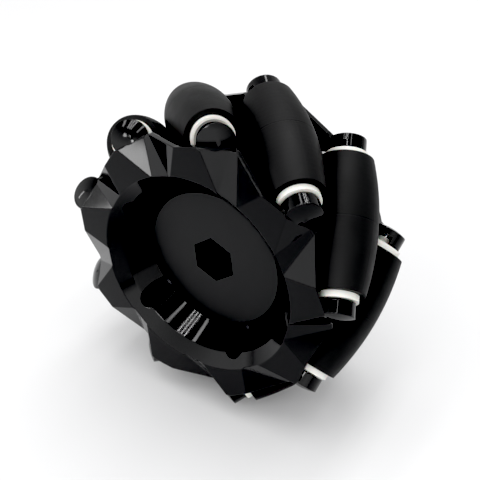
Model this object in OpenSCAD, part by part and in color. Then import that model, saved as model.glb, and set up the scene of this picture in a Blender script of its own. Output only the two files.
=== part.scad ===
// Mecanum wheel for a small robot chassis.
// Two identical hub plates are clamped together by five screws and hold nine
// barrel-shaped rollers, each free to spin on its own steel pin set at 45 degrees.
// Units are millimetres. The wheel turns about Y, +Z is up, the outer face looks
// along -Y and the origin is the middle of the wheel.

/* [Wheel] */
// Radius of the rolling circle
wheel_radius = 48.35; // [47:0.05:49]
// Angle of the first roller round the wheel, from +X towards +Z
first_roller_angle = 26.4; // [0:0.1:40]
// Distance from the wheel axis to each roller axis
pitch_radius = 38.45; // [38:0.05:39]

/* [Roller] */
// Half length of the rubber tread
tread_half = 19.1; // [18:0.1:19.5]
// Radius of the core tube under the rubber
core_radius = 5; // [4:0.1:5.5]
// Radius of the white end flange
flange_radius = 5.9; // [5.5:0.1:6.5]
// Distance from the roller centre to the outer side of the flange
flange_end = 20.9; // [20.5:0.1:21]
// Radius of the neck beyond the flange
neck_radius = 2; // [1.9:0.05:2.2]
// Distance from the roller centre to the end of the neck
neck_end = 22.9; // [22:0.1:23]
// Depth of the seam line round the middle of the tread
seam_depth = 0.07; // [0.05:0.01:0.2]

/* [Pin] */
// Radius of the steel roller pin
pin_radius = 1.5; // [1.25:0.05:1.6]
// Half length of the steel roller pin
pin_half = 24.7; // [24:0.1:25]

/* [Plate] */
// Height of the outer face above the joint between the plates
plate_height = 21.7; // [21:0.1:22.5]
// Thickness of the moulded shell
wall = 1.6; // [1.2:0.1:2]
// Radius where the sloping band meets the flat facets of the star
rim_radius = 31.2; // [31:0.1:33]
// Outside radius of the drum
drum_radius = 27.3; // [27:0.1:27.6]
// Inside radius of the drum
drum_inner = 25.3; // [24.5:0.1:25.5]
// Radius of the raised centre boss
boss_radius = 21.95; // [21:0.05:22]
// Height of the centre boss face
boss_height = 11.2; // [10.5:0.1:12]
// Height of the groove floor round the boss
groove_height = 9; // [8.5:0.1:9.5]
// Height of the underside of the web
web_height = 6.8; // [6:0.1:7]
// Radius of the tab that holds a roller pin
tab_radius = 5.2; // [4.5:0.1:5.4]
// Distance from the roller centre to the inner face of the tab
tab_start = 21.3; // [21.2:0.1:21.5]
// Distance from the roller centre to the closed end of the tab
tab_end = 26.2; // [26:0.1:26.5]

/* [Drive hex] */
// Width across the flats of the drive hex
hex_flats = 12.4; // [12:0.1:12.6]
// Outside radius of the tube round the drive hex
hex_tube_radius = 10; // [9:0.1:11]

/* [Clamp screws] */
// Radius of the circle through the clamp screws
screw_circle = 25.4; // [25:0.1:25.6]
// Radius of the screw shank
screw_radius = 1.5; // [1.25:0.05:1.6]
// Radius of the screw head
head_radius = 2.75; // [2.5:0.05:2.9]
// Radius of the round pocket over each screw
pocket_radius = 3.4; // [3.3:0.05:3.5]

/* [Part shown] */
// Which sub-part to show

/* [Hidden] */
$fn = 96;
roller_count = 9;
roller_step = 360 / roller_count;
roller_tilt = 45;
screw_count = 5;
screw_step = 360 / screw_count;
// The back plate is the front plate turned half a turn about this radial line
turn_angle = first_roller_angle - roller_step / 2;
// The hex corners sit evenly either side of that line, so both plates line up
hex_angle = turn_angle + 30;
hex_radius = hex_flats / 2 / cos(30);
// Small gaps between pieces
slip = 0.02;
pin_play = 0.06;
roller_gap = 0.5;
// Longer than any cut has to reach
reach = 90;
// Corner where the flat facet, the flank and the outer edge meet, in the lobe frame
crest_x = 39.2;
crest_y = -6.8;
// Direction and fall of the flank, and fall of the flank beside the rim
flank_turn = -26;
flank_fall = 24.9;
rim_flank_x = 30.4;
rim_flank_fall = 27.4;
// How far one tooth runs past the wheel axis and past its own lobe
tooth_back = 5;
tooth_side = 8;
// The end facet leans out a little from the end of the tab
end_lean = 6;
end_lean_x = -3;
// Outer outline of one lobe
edge_x = 39;
edge_y = -13.5;
spill_x = 41;
spill_y = 5.5;
lobe_corners = [[edge_x, edge_y], [crest_x, crest_y], [spill_x, spill_y]];
tab_dome = 1;
boss_round = 0.4;
groove_outer = 22.5;
band_inner = 27.5;
band_height = 18.4;
flare_height = 15.5;
flare_radius = 33.4;
flare_top = 20.4;
notch_half = 2.3;
notch_depth = 1.9;
pin_hole_end = 25;
seat_height = 8.6;
post_radius = 3.3;
housing_wall = 1.2;
rib_thickness = 2;
head_height = 2;
head_rim = 1.2;
recess_width = 0.7;
recess_length = 3;
recess_depth = 1.1;
nut_flats = 5.5;
nut_height = 2.4;
screw_tail = 0.8;
seam_half = 0.15;
tread_steps = 12;

// Radius of the tread at a distance s along the roller axis, so that the
// outside of every roller lies close to the rolling circle
function tread_radius(s) = wheel_radius - sqrt(pitch_radius * pitch_radius + s * s / 2);

// A plan point turned about the wheel axis
function turned(p, a) = [p[0] * cos(a) - p[1] * sin(a), p[0] * sin(a) + p[1] * cos(a)];

// Places local geometry so that its Z points out of the front face
module wheel_frame() {
    rotate([90, 0, 0])
        children();
}

// Frame of one lobe: X outward from the wheel axis, Z out of the front face
module lobe_frame(k) {
    rotate([0, 0, first_roller_angle + roller_step * k])
        children();
}

// Frame of one roller: Z along the roller axis towards the front tab
module roller_frame(k) {
    lobe_frame(k)
        translate([pitch_radius, 0, 0])
            rotate([roller_tilt, 0, 0])
                children();
}

// Frame of one clamp screw
module screw_frame(j) {
    rotate([0, 0, turn_angle + screw_step * j])
        translate([screw_circle, 0, 0])
            children();
}

// Everything below the local XY plane
module below() {
    translate([-reach, -reach, -2 * reach])
        cube([2 * reach, 2 * reach, 2 * reach]);
}

// One saw-tooth of the star, each face set back by the given depth
module tooth(k, depth) {
    intersection() {
        translate([0, 0, plate_height - depth])
            below();
        roller_frame(k)
            translate([end_lean_x, 0, tab_end])
                rotate([0, end_lean, 0])
                    translate([0, 0, -depth])
                        below();
        lobe_frame(k)
            union() {
                intersection() {
                    translate([crest_x, crest_y, plate_height])
                        rotate([0, 0, flank_turn])
                            rotate([-flank_fall, 0, 0])
                                translate([0, 0, -depth])
                                    below();
                    translate([depth - tooth_back, -reach, -reach])
                        cube([reach, 2 * reach, 2 * reach]);
                }
                intersection() {
                    translate([rim_flank_x, 0, plate_height])
                        rotate([0, rim_flank_fall, 0])
                            translate([0, 0, -depth])
                                below();
                    translate([depth, -reach, -reach])
                        cube([reach, reach + tooth_side - depth, 2 * reach]);
                }
            }
    }
}

module teeth(depth) {
    for (k = [0 : roller_count - 1])
        tooth(k, depth);
}

// Plan view of the star, one lobe after another
module outline() {
    polygon([for (k = [0 : roller_count - 1])
        for (corner = lobe_corners)
            turned(corner, first_roller_angle + roller_step * k)]);
}

// Solid core of the plate, widening under the sloping band
module drum() {
    rotate_extrude()
        polygon([[0, -1], [drum_radius, -1], [drum_radius, flare_height],
            [flare_radius, flare_top], [flare_radius, reach], [0, reach]]);
}

// Moulded star shell round the drum and the screw pockets
module star() {
    intersection() {
        linear_extrude(height = plate_height)
            outline();
        difference() {
            teeth(0);
            difference() {
                teeth(wall);
                drum();
                for (j = [0 : screw_count - 1])
                    screw_frame(j)
                        translate([0, 0, -1])
                            cylinder(r = pocket_radius + housing_wall, h = reach);
            }
        }
    }
}

// Tab with a closed, domed end
module tab(k) {
    dome_radius = (tab_radius * tab_radius + tab_dome * tab_dome) / (2 * tab_dome);
    roller_frame(k)
        intersection() {
            translate([0, 0, tab_start])
                cylinder(r = tab_radius, h = tab_end - tab_start);
            translate([0, 0, tab_end - dome_radius])
                sphere(r = dome_radius);
        }
}

// Room for one roller, its flange, its neck and its pin
module roller_room(k) {
    roller_frame(k)
        union() {
            rotate_extrude()
                polygon([[0, -tab_start], [tread_radius(0) + roller_gap, -tab_start],
                    [tread_radius(0) + roller_gap, 8], [tread_radius(tread_half) + roller_gap, tread_half],
                    [tread_radius(tread_half) + roller_gap, tab_start], [0, tab_start]]);
            cylinder(r = notch_half, h = tab_start + notch_depth);
            translate([-notch_half, -2 * tab_radius, 0])
                cube([2 * notch_half, 2 * tab_radius, tab_start + notch_depth]);
            cylinder(r = pin_radius + slip, h = pin_hole_end);
        }
}

// Hollow in front of the web: the boss face, the groove, the steep wall and the sloping band
module dish() {
    rotate_extrude()
        polygon([[0, boss_height], [boss_radius - boss_round, boss_height],
            [boss_radius, boss_height - boss_round], [boss_radius, groove_height],
            [groove_outer, groove_height], [band_inner, band_height],
            [rim_radius, plate_height], [rim_radius, 2 * plate_height], [0, 2 * plate_height]]);
}

// Hollow behind the web, leaving the hex tube, the screw posts and the ribs
module web_hollow() {
    difference() {
        translate([0, 0, -1])
            cylinder(r = drum_inner, h = web_height + 1);
        translate([0, 0, -2])
            cylinder(r = hex_tube_radius, h = web_height + 4);
        for (j = [0 : screw_count - 1]) {
            screw_frame(j)
                translate([0, 0, -2])
                    cylinder(r = post_radius, h = web_height + 4);
            rotate([0, 0, turn_angle + screw_step * j])
                translate([0, -rib_thickness / 2, -2])
                    cube([screw_circle, rib_thickness, web_height + 4]);
        }
    }
}

module half_plate() {
    difference() {
        union() {
            star();
            for (k = [0 : roller_count - 1])
                tab(k);
        }
        dish();
        web_hollow();
        for (k = [0 : roller_count - 1])
            roller_room(k);
        for (j = [0 : screw_count - 1])
            screw_frame(j) {
                translate([0, 0, seat_height])
                    cylinder(r = pocket_radius, h = reach);
                translate([0, 0, -1])
                    cylinder(r = screw_radius + 0.1, h = reach);
            }
        rotate([0, 0, hex_angle])
            translate([0, 0, -1])
                cylinder(r = hex_radius, h = reach, $fn = 6);
    }
}

// Outer half of the hub
module front_plate() {
    color("#0b0b0c")
        wheel_frame()
            half_plate();
}

// Inner half of the hub, the same moulding turned over
module back_plate() {
    color("#0b0b0c")
        wheel_frame()
            rotate([0, 0, turn_angle])
                rotate([180, 0, 0])
                    rotate([0, 0, -turn_angle])
                        half_plate();
}

// Five pan-head screws with cross recesses
module clamp_screws() {
    color("#55575a")
        wheel_frame()
            for (j = [0 : screw_count - 1])
                screw_frame(j)
                    difference() {
                        union() {
                            translate([0, 0, -seat_height - nut_height - screw_tail])
                                cylinder(r = screw_radius, h = 2 * seat_height + nut_height + screw_tail);
                            translate([0, 0, seat_height])
                                cylinder(r = head_radius, h = head_rim);
                            translate([0, 0, seat_height + head_rim])
                                cylinder(r1 = head_radius, r2 = head_radius - 0.8, h = head_height - head_rim);
                        }
                        translate([-recess_length / 2, -recess_width / 2, seat_height + head_height - recess_depth])
                            cube([recess_length, recess_width, 2 * recess_depth]);
                        translate([-recess_width / 2, -recess_length / 2, seat_height + head_height - recess_depth])
                            cube([recess_width, recess_length, 2 * recess_depth]);
                    }
}

// Five hex nuts in the pockets of the inner plate
module clamp_nuts() {
    color("#6a6c70")
        wheel_frame()
            for (j = [0 : screw_count - 1])
                screw_frame(j)
                    translate([0, 0, -seat_height - nut_height])
                        difference() {
                            cylinder(r = nut_flats / 2 / cos(30), h = nut_height, $fn = 6);
                            translate([0, 0, -1])
                                cylinder(r = screw_radius + slip, h = nut_height + 2);
                        }
}

// Rubber barrel with a fine seam round its middle
module tread(k) {
    color("#1b1b1c")
        wheel_frame()
            roller_frame(k)
                rotate_extrude()
                    polygon(concat(
                        [[core_radius + slip, -tread_half]],
                        [for (i = [-tread_steps : -1])
                            [tread_radius(tread_half * i / tread_steps), tread_half * i / tread_steps]],
                        [[tread_radius(0), -seam_half], [tread_radius(0) - seam_depth, 0],
                         [tread_radius(0), seam_half]],
                        [for (i = [1 : tread_steps])
                            [tread_radius(tread_half * i / tread_steps), tread_half * i / tread_steps]],
                        [[core_radius + slip, tread_half]]));
}

// Half of the plastic core, seen from the roller centre outward
module core_half() {
    rotate_extrude()
        polygon([[pin_radius + pin_play, 0.01], [core_radius, 0.01], [core_radius, tread_half + slip],
            [flange_radius, tread_half + slip], [flange_radius, flange_end],
            [neck_radius, flange_end], [neck_radius, neck_end], [pin_radius + pin_play, neck_end]]);
}

module core_front(k) {
    color("#e9e8e2")
        wheel_frame()
            roller_frame(k)
                core_half();
}

module core_back(k) {
    color("#e9e8e2")
        wheel_frame()
            roller_frame(k)
                rotate([180, 0, 0])
                    core_half();
}

// Steel pin held in the tabs of both plates
module pin(k) {
    color("#9c9ea2")
        wheel_frame()
            roller_frame(k)
                translate([0, 0, -pin_half])
                    cylinder(r = pin_radius, h = 2 * pin_half);
}

front_plate();
back_plate();
clamp_screws();
clamp_nuts();
tread(0);  // tread_1
core_front(0);  // core_front_1
core_back(0);  // core_back_1
pin(0);  // pin_1
tread(1);  // tread_2
core_front(1);  // core_front_2
core_back(1);  // core_back_2
pin(1);  // pin_2
tread(2);  // tread_3
core_front(2);  // core_front_3
core_back(2);  // core_back_3
pin(2);  // pin_3
tread(3);  // tread_4
core_front(3);  // core_front_4
core_back(3);  // core_back_4
pin(3);  // pin_4
tread(4);  // tread_5
core_front(4);  // core_front_5
core_back(4);  // core_back_5
pin(4);  // pin_5
tread(5);  // tread_6
core_front(5);  // core_front_6
core_back(5);  // core_back_6
pin(5);  // pin_6
tread(6);  // tread_7
core_front(6);  // core_front_7
core_back(6);  // core_back_7
pin(6);  // pin_7
tread(7);  // tread_8
core_front(7);  // core_front_8
core_back(7);  // core_back_8
pin(7);  // pin_8
tread(8);  // tread_9
core_front(8);  // core_front_9
core_back(8);  // core_back_9
pin(8);  // pin_9
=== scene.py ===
import math
import bpy
from mathutils import Matrix, Vector


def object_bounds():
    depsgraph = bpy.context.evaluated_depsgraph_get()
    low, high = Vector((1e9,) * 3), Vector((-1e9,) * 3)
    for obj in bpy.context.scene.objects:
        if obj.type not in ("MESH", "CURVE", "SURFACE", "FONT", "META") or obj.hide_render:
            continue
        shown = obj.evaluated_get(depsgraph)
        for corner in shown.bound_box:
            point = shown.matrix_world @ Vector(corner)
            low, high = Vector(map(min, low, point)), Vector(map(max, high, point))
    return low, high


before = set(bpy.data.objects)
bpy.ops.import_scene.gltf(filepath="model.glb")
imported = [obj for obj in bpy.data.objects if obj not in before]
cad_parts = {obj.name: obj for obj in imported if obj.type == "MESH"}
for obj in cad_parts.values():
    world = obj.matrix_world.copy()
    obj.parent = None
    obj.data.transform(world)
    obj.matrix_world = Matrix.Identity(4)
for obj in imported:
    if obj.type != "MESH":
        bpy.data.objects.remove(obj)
cad_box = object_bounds()

MM = 0.001
ROLLERS = range(1, 10)

# Camera, in millimetres and degrees
VIEW_AZIMUTH = 32.03
VIEW_ELEVATION = 33.24
VIEW_DISTANCE = 232.18
VIEW_RIGHT = 1.77
VIEW_UP = 0.56
LENS = 57.797
SENSOR = 36.0
# Nearest thing that the camera shows, in metres
CLIP_START = 0.01

# The boss face takes its own material, found by its place on the plate, in millimetres
BOSS_RADIUS = 21.9
BOSS_HEIGHT = 11.2
FACE_GAP = 0.02

# Colours, each as a darker and a lighter tone that a noise mixes
HUB_TONES = (0.0090, 0.0091, 0.0095), (0.0120, 0.0121, 0.0126)
BOSS_TONES = (0.0190, 0.0192, 0.0195), (0.0220, 0.0222, 0.0226)
TREAD_TONES = (0.023, 0.023, 0.0233), (0.028, 0.028, 0.0283)
DUST_TONE = (0.036, 0.036, 0.035)
CORE_TONES = (0.74, 0.73, 0.69), (0.84, 0.835, 0.80)
PIN_TONES = (0.42, 0.42, 0.43), (0.58, 0.58, 0.59)
SCREW_TONES = (0.030, 0.030, 0.032), (0.055, 0.055, 0.058)
NUT_TONES = (0.28, 0.28, 0.29), (0.42, 0.42, 0.43)
FLOOR_TONES = (0.74, 0.74, 0.745), (0.76, 0.76, 0.765)
WHITE = (1.0, 1.0, 1.0, 1.0)

# Refractive index of the plastic and the rubber, and the rubber's specular level
PLASTIC_IOR = 1.5
RUBBER_SPECULAR = 0.28

# Edges are softened in shading only, by these radii in metres
HUB_EDGE = 0.45 * MM
TREAD_EDGE = 0.35 * MM
CORE_EDGE = 0.2 * MM
METAL_EDGE = 0.12 * MM
EDGE_SAMPLES = 12

# Half the floor's side, in metres
FLOOR_SIZE = 6.0

# Studio brightness overhead and along the walls
WORLD_DARK = 0.76
WORLD_WALLS = 1.75
# The bright walls rise from the horizon, fade overhead, and stand in front of the wheel
WALL_BOTTOM = (-0.02, 0.10)
WALL_TOP = (0.45, 0.85)
WALL_FRONT = (-0.6, 0.2)

# Lamps hang this far from the wheel's centre, in metres
LAMP_DISTANCE = 1.0
# Tubes that hang over the wheel from front to back, in metres and watts
TUBE_LENGTH = 1.3
TUBE_MIDDLE = 0.15
TUBE_PLACES = (0.08, 0.0, -0.08)
TUBE_WIDTH = 0.014
TUBE_POWER = 1.2
# Scene brightness that the picture shows as black
BLACK_LEVEL = 0.0565


# ---------------------------------------------------------------- node helpers
def new_material(name):
    mat = bpy.data.materials.new(name)
    mat.use_nodes = True
    nodes, links = mat.node_tree.nodes, mat.node_tree.links
    nodes.clear()
    out = nodes.new("ShaderNodeOutputMaterial")
    shader = nodes.new("ShaderNodeBsdfPrincipled")
    links.new(shader.outputs["BSDF"], out.inputs["Surface"])
    return mat, nodes, links, shader


def object_coords(nodes):
    return nodes.new("ShaderNodeTexCoord").outputs["Object"]


def noise(nodes, links, vector, scale, detail, roughness=0.55, distortion=0.0):
    n = nodes.new("ShaderNodeTexNoise")
    n.inputs["Scale"].default_value = scale
    n.inputs["Detail"].default_value = detail
    n.inputs["Roughness"].default_value = roughness
    n.inputs["Distortion"].default_value = distortion
    links.new(vector, n.inputs["Vector"])
    return n.outputs["Fac"]


def remap(nodes, links, value, low, high, to_low, to_high):
    m = nodes.new("ShaderNodeMapRange")
    m.inputs["From Min"].default_value = low
    m.inputs["From Max"].default_value = high
    m.inputs["To Min"].default_value = to_low
    m.inputs["To Max"].default_value = to_high
    links.new(value, m.inputs["Value"])
    return m.outputs["Result"]


def multiply(nodes, links, a, b):
    m = nodes.new("ShaderNodeMath")
    m.operation = "MULTIPLY"
    links.new(a, m.inputs[0])
    links.new(b, m.inputs[1])
    return m.outputs["Value"]


def mix_colour(nodes, links, factor, a, b):
    m = nodes.new("ShaderNodeMix")
    m.data_type = "RGBA"
    links.new(factor, m.inputs["Factor"])
    for name, value in (("A", a), ("B", b)):
        socket = next(s for s in m.inputs if s.name == name and s.type == "RGBA")
        if isinstance(value, tuple):
            socket.default_value = value + (1.0,)
        else:
            links.new(value, socket)
    return next(s for s in m.outputs if s.type == "RGBA")


def bump(nodes, links, height, distance, strength, normal=None):
    b = nodes.new("ShaderNodeBump")
    b.inputs["Distance"].default_value = distance
    b.inputs["Strength"].default_value = strength
    links.new(height, b.inputs["Height"])
    if normal is not None:
        links.new(normal, b.inputs["Normal"])
    return b.outputs["Normal"]


def rounded(nodes, radius):
    b = nodes.new("ShaderNodeBevel")
    b.samples = EDGE_SAMPLES
    b.inputs["Radius"].default_value = radius
    return b.outputs["Normal"]


# ------------------------------------------------------------------- materials
# Noise scales are in cycles per metre, so 1000 is a grain of about a millimetre.
def plate_material():
    mat, nodes, links, shader = new_material("hub_gloss_black")
    at = object_coords(nodes)
    smudge = noise(nodes, links, at, 90.0, 5.0, 0.6, 0.4)
    flow = noise(nodes, links, at, 28.0, 3.0, 0.5, 1.2)
    rough = remap(nodes, links, smudge, 0.3, 0.75, 0.05, 0.11)
    links.new(rough, shader.inputs["Roughness"])
    links.new(mix_colour(nodes, links, flow, *HUB_TONES), shader.inputs["Base Color"])
    normal = rounded(nodes, HUB_EDGE)
    normal = bump(nodes, links, flow, 0.06 * MM, 0.35, normal)
    normal = bump(nodes, links, smudge, 0.004 * MM, 0.25, normal)
    links.new(normal, shader.inputs["Normal"])
    shader.inputs["IOR"].default_value = PLASTIC_IOR
    return mat


def boss_material():
    mat, nodes, links, shader = new_material("hub_satin_boss")
    at = object_coords(nodes)
    cloud = noise(nodes, links, at, 70.0, 4.0, 0.6)
    grain = noise(nodes, links, at, 2600.0, 3.0)
    links.new(remap(nodes, links, grain, 0.3, 0.7, 0.28, 0.38), shader.inputs["Roughness"])
    links.new(mix_colour(nodes, links, cloud, *BOSS_TONES), shader.inputs["Base Color"])
    links.new(bump(nodes, links, grain, 0.012 * MM, 0.6), shader.inputs["Normal"])
    shader.inputs["IOR"].default_value = PLASTIC_IOR
    return mat


def tread_material():
    mat, nodes, links, shader = new_material("tread_matte_rubber")
    at = object_coords(nodes)
    cloud = noise(nodes, links, at, 120.0, 5.0, 0.6)
    pore = noise(nodes, links, at, 3800.0, 4.0, 0.7)
    dust = noise(nodes, links, at, 900.0, 6.0, 0.75, 0.6)
    links.new(remap(nodes, links, cloud, 0.3, 0.7, 0.46, 0.58), shader.inputs["Roughness"])
    base = mix_colour(nodes, links, cloud, *TREAD_TONES)
    speck = remap(nodes, links, dust, 0.68, 0.78, 0.0, 0.15)
    links.new(mix_colour(nodes, links, speck, base, DUST_TONE), shader.inputs["Base Color"])
    normal = bump(nodes, links, pore, 0.03 * MM, 0.55, rounded(nodes, TREAD_EDGE))
    links.new(normal, shader.inputs["Normal"])
    shader.inputs["IOR"].default_value = PLASTIC_IOR
    shader.inputs["Specular IOR Level"].default_value = RUBBER_SPECULAR
    return mat


def core_material():
    mat, nodes, links, shader = new_material("core_white_plastic")
    at = object_coords(nodes)
    cloud = noise(nodes, links, at, 160.0, 4.0)
    grain = noise(nodes, links, at, 3000.0, 3.0)
    links.new(mix_colour(nodes, links, cloud, *CORE_TONES), shader.inputs["Base Color"])
    links.new(remap(nodes, links, grain, 0.3, 0.7, 0.34, 0.46), shader.inputs["Roughness"])
    normal = bump(nodes, links, grain, 0.012 * MM, 0.5, rounded(nodes, CORE_EDGE))
    links.new(normal, shader.inputs["Normal"])
    shader.inputs["Subsurface Weight"].default_value = 0.15
    shader.inputs["Subsurface Scale"].default_value = 0.8 * MM
    return mat


def metal_material(name, tones, rough_low, rough_high):
    mat, nodes, links, shader = new_material(name)
    at = object_coords(nodes)
    cloud = noise(nodes, links, at, 420.0, 4.0, 0.6)
    scratch = noise(nodes, links, at, 2400.0, 6.0, 0.7, 0.3)
    links.new(mix_colour(nodes, links, cloud, *tones), shader.inputs["Base Color"])
    rough = remap(nodes, links, scratch, 0.3, 0.7, rough_low, rough_high)
    links.new(rough, shader.inputs["Roughness"])
    normal = bump(nodes, links, scratch, 0.01 * MM, 0.5, rounded(nodes, METAL_EDGE))
    links.new(normal, shader.inputs["Normal"])
    shader.inputs["Metallic"].default_value = 1.0
    return mat


def paint(node, mat):
    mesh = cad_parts[node].data
    mesh.materials.clear()
    mesh.materials.append(mat)


def paint_boss(node, mat):
    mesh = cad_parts[node].data
    mesh.materials.append(mat)
    for face in mesh.polygons:
        x, y, z = face.center / MM
        if math.hypot(x, z) < BOSS_RADIUS and abs(abs(y) - BOSS_HEIGHT) < FACE_GAP:
            face.material_index = len(mesh.materials) - 1


def paint_wheel():
    plate = plate_material()
    boss = boss_material()
    tread = tread_material()
    core = core_material()
    pin = metal_material("pin_ground_steel", PIN_TONES, 0.18, 0.30)
    screw = metal_material("screw_black_oxide", SCREW_TONES, 0.30, 0.45)
    nut = metal_material("nut_zinc", NUT_TONES, 0.24, 0.40)
    for node in ("front_plate", "back_plate"):
        paint(node, plate)
        paint_boss(node, boss)
    paint("clamp_screws", screw)
    paint("clamp_nuts", nut)
    for k in ROLLERS:
        paint(f"tread_{k}", tread)
        paint(f"core_front_{k}", core)
        paint(f"core_back_{k}", core)
        paint(f"pin_{k}", pin)


# ----------------------------------------------------------- floor and lighting
def make_floor():
    mesh = bpy.data.meshes.new("floor")
    level = cad_box[0][2]
    signs = ((-1, -1), (1, -1), (1, 1), (-1, 1))
    corners = [(x * FLOOR_SIZE, y * FLOOR_SIZE, level) for x, y in signs]
    mesh.from_pydata(corners, [], [(0, 1, 2, 3)])
    floor = bpy.data.objects.new("floor", mesh)
    bpy.context.scene.collection.objects.link(floor)
    mat, nodes, links, shader = new_material("pale_floor")
    tone = noise(nodes, links, object_coords(nodes), 3.0, 2.0)
    links.new(mix_colour(nodes, links, tone, *FLOOR_TONES), shader.inputs["Base Color"])
    shader.inputs["Roughness"].default_value = 0.6
    mesh.materials.append(mat)


def soft_box(name, direction, width, height, power):
    data = bpy.data.lights.new(name, "AREA")
    data.shape = "RECTANGLE"
    data.size, data.size_y = width, height
    data.energy = power
    light = bpy.data.objects.new(name, data)
    away = Vector(direction).normalized()
    light.location = away * LAMP_DISTANCE
    light.rotation_euler = away.to_track_quat("Z", "Y").to_euler()
    bpy.context.scene.collection.objects.link(light)
    return light


def tube(name, x, width, power):
    light = soft_box(name, (0.0, 0.0, 1.0), width, TUBE_LENGTH, power)
    light.location = (x, TUBE_MIDDLE, LAMP_DISTANCE)
    light.rotation_euler = (0.0, math.atan2(x, LAMP_DISTANCE), 0.0)


def make_world():
    world = bpy.data.worlds.new("studio")
    world.use_nodes = True
    nodes, links = world.node_tree.nodes, world.node_tree.links
    coords = nodes.new("ShaderNodeTexCoord")
    split = nodes.new("ShaderNodeSeparateXYZ")
    links.new(coords.outputs["Generated"], split.inputs[0])
    above = remap(nodes, links, split.outputs["Z"], *WALL_BOTTOM, 0.0, 1.0)
    below = remap(nodes, links, split.outputs["Z"], *WALL_TOP, 1.0, 0.0)
    front = remap(nodes, links, split.outputs["Y"], *WALL_FRONT, 1.0, 0.0)
    walls = multiply(nodes, links, multiply(nodes, links, above, below), front)
    strength = remap(nodes, links, walls, 0.0, 1.0, WORLD_DARK, WORLD_WALLS)
    links.new(strength, nodes["Background"].inputs["Strength"])
    nodes["Background"].inputs["Color"].default_value = WHITE
    bpy.context.scene.world = world


def make_lights():
    for i, x in enumerate(TUBE_PLACES):
        tube(f"tube_{i + 1}", x, TUBE_WIDTH, TUBE_POWER)
    tube("soft_tube", -0.30, 0.07, 1.4)
    tube("right_panel", 0.38, 0.06, 1.1)
    soft_box("left_strip", (-0.86, -0.375, 0.34), 0.05, 0.30, 0.3)
    soft_box("front_card", (-0.04, -0.67, 0.74), 0.12, 0.12, 0.36)
    soft_box("view_card", (0.36, -0.70, 0.62), 0.20, 0.12, 1.0)
    view = bpy.context.scene.view_settings
    view.view_transform = "Standard"
    view.use_curve_mapping = True
    view.curve_mapping.black_level = (BLACK_LEVEL, BLACK_LEVEL, BLACK_LEVEL)
    view.curve_mapping.update()


def view_axes(azimuth, elevation):
    a, e = math.radians(azimuth), math.radians(elevation)
    back = Vector((math.sin(a) * math.cos(e), -math.cos(a) * math.cos(e), math.sin(e)))
    right = Vector((math.cos(a), math.sin(a), 0.0))
    return right, back.cross(right), back


def make_camera():
    right, up, back = view_axes(VIEW_AZIMUTH, VIEW_ELEVATION)
    data = bpy.data.cameras.new("camera")
    data.sensor_width = SENSOR
    data.lens = LENS
    data.clip_start = CLIP_START
    camera = bpy.data.objects.new("camera", data)
    at = (back * VIEW_DISTANCE + right * VIEW_RIGHT + up * VIEW_UP) * MM
    turn = Matrix((right, up, back)).transposed().to_4x4()
    camera.matrix_world = Matrix.Translation(at) @ turn
    bpy.context.scene.collection.objects.link(camera)
    bpy.context.scene.camera = camera


paint_wheel()
make_floor()
make_world()
make_lights()
make_camera()

bpy.context.view_layer.update()
